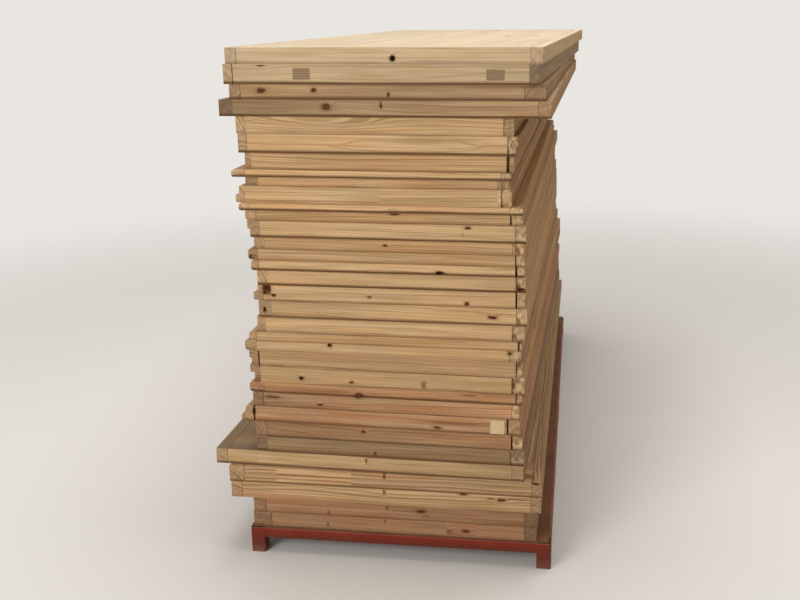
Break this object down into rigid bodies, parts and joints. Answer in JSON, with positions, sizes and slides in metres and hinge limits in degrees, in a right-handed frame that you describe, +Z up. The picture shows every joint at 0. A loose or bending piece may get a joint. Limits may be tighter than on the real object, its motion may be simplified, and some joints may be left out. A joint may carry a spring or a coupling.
{
  "type": "stack of pine sheets on a steel skid",
  "caption": "Stack of glued-up pine sheets of mixed thickness and width, laid flat and slightly askew on a low red steel skid",
  "frame": {"origin": "on the floor, in the middle of the skid", "axes": "X across the stack, Y from its front to its back along the sheets, Z up"},
  "size_m": [0.9875, 2.0442, 1.397],
  "materials": {
    "pine": "planed, unfinished",
    "red_paint": "worn enamel",
    "hardboard": "smooth"
  },
  "bodies": {
    "root": {"leg_front_left": "red_paint", "leg_front_right": "red_paint", "leg_back_left": "red_paint", "leg_back_right": "red_paint", "leg_middle_left": "red_paint", "leg_middle_right": "red_paint", "bar_front": "red_paint", "bar_back": "red_paint", "bar_left": "red_paint", "bar_right": "red_paint", "cross_bar_1": "red_paint", "cross_bar_2": "red_paint", "cross_bar_3": "red_paint", "deck_board": "hardboard", "sheet_01": "pine", "sheet_02": "pine", "sheet_03": "pine", "sheet_04": "pine", "sheet_05": "pine", "sheet_06": "pine", "sheet_07": "pine", "sheet_08": "pine", "sheet_09": "pine", "sheet_10": "pine", "sheet_11": "pine", "sheet_12": "pine", "sheet_13": "pine", "sheet_14": "pine", "sheet_15": "pine", "sheet_16": "pine", "sheet_17": "pine", "sheet_18": "pine", "sheet_19": "pine", "sheet_20": "pine", "sheet_21": "pine", "sheet_22": "pine", "sheet_23": "pine", "sheet_24": "pine", "sheet_25": "pine", "sheet_26": "pine", "sheet_27": "pine", "sheet_28": "pine", "sheet_29": "pine", "sheet_30": "pine", "sheet_31": "pine", "sheet_32": "pine", "sheet_33": "pine", "sheet_34": "pine"}
  },
  "joints": []
}
